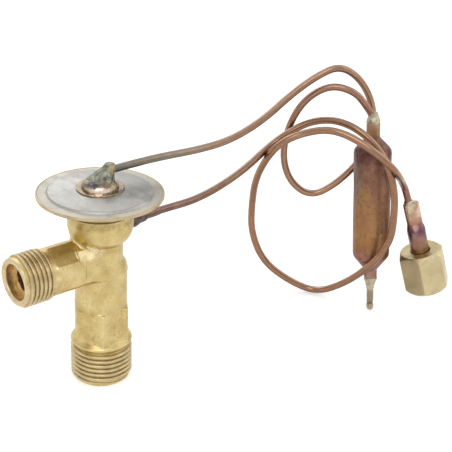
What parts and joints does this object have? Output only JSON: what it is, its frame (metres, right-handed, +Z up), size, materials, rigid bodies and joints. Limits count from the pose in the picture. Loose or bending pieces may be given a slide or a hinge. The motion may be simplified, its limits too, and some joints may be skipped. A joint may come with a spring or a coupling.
{
  "type": "thermostatic expansion valve",
  "caption": "Angle expansion valve with diaphragm head, capillary tube, sensing bulb and an external equaliser tube ending in a flare nut.",
  "frame": {"origin": "middle of the outlet's end face, on the table that the valve stands on", "axes": "+Z up the stem towards the diaphragm head; the inlet branch points along -X; the capillary and the equaliser tube leave along +X"},
  "size_m": [0.1506, 0.0639, 0.0892],
  "materials": {
    "cast_brass": "forged and machined brass, satin, with small pits",
    "turned_brass": "satin turned brass",
    "yellow_cover": "pale yellow plating",
    "grey_cover": "dull grey plating",
    "steel": "ground steel",
    "bright_copper": "bright copper with heat tint",
    "brown_copper": "drawn copper, browned",
    "dark_copper": "scaled dark copper",
    "bulb_copper": "copper with bands of heat tint",
    "pale_solder": "brazing alloy, pale yellow green",
    "green_solder": "rough brazing alloy with green tarnish",
    "packing": "black packing ring"
  },
  "bodies": {
    "valve": {"valve_body": "cast_brass", "lower_cover": "yellow_cover", "diaphragm": "steel", "upper_cover": "grey_cover", "capillary_boss": "bright_copper", "head_solder": "green_solder", "capillary_tube": "brown_copper", "superheat_spring": "steel", "pin_packing": "packing", "packing_gland": "turned_brass", "equaliser_cuff": "dark_copper", "equaliser_solder": "dark_copper", "equaliser_tube": "brown_copper", "bulb_shell": "bulb_copper", "bulb_top_solder": "pale_solder", "charge_tube": "brown_copper", "charge_tube_solder": "pale_solder", "flare_stub": "bright_copper", "stub_solder": "pale_solder"},
    "lifter": {"thrust_plate": "steel", "push_pin": "steel", "valve_ball": "steel", "ball_carrier": "turned_brass"},
    "seat_slide": {"spring_seat": "turned_brass"},
    "adjuster": {"adjusting_screw": "turned_brass"},
    "nut": {"flare_nut": "turned_brass"}
  },
  "joints": [
    {"name": "nut_spin", "type": "hinge", "parent": "valve", "child": "nut", "pos_m": [0.1061, -0.0307, 0.043], "axis": [-0.2142, 0.1882, 0.9585], "continuous": true},
    {"name": "valve_lift", "type": "slide", "parent": "valve", "child": "lifter", "axis": [0, 0, -1], "range_m": [0, 0.0008], "stiffness_N_per_m": 4000, "springref_m": -0.002, "deforming": ["superheat_spring", "diaphragm"]},
    {"name": "adjuster_travel", "type": "slide", "parent": "valve", "child": "seat_slide", "axis": [0, 0, 1], "range_m": [-0.001, 0.001], "deforming": ["superheat_spring"]},
    {"name": "adjuster_turn", "type": "hinge", "parent": "seat_slide", "child": "adjuster", "pos_m": [0, 0, 0.01], "axis": [0, 0, 1], "range_deg": [-360, 360]}
  ],
  "couplings": [
    {"joint": "adjuster_turn", "follows": "adjuster_travel", "rad_per_m": 6283}
  ]
}
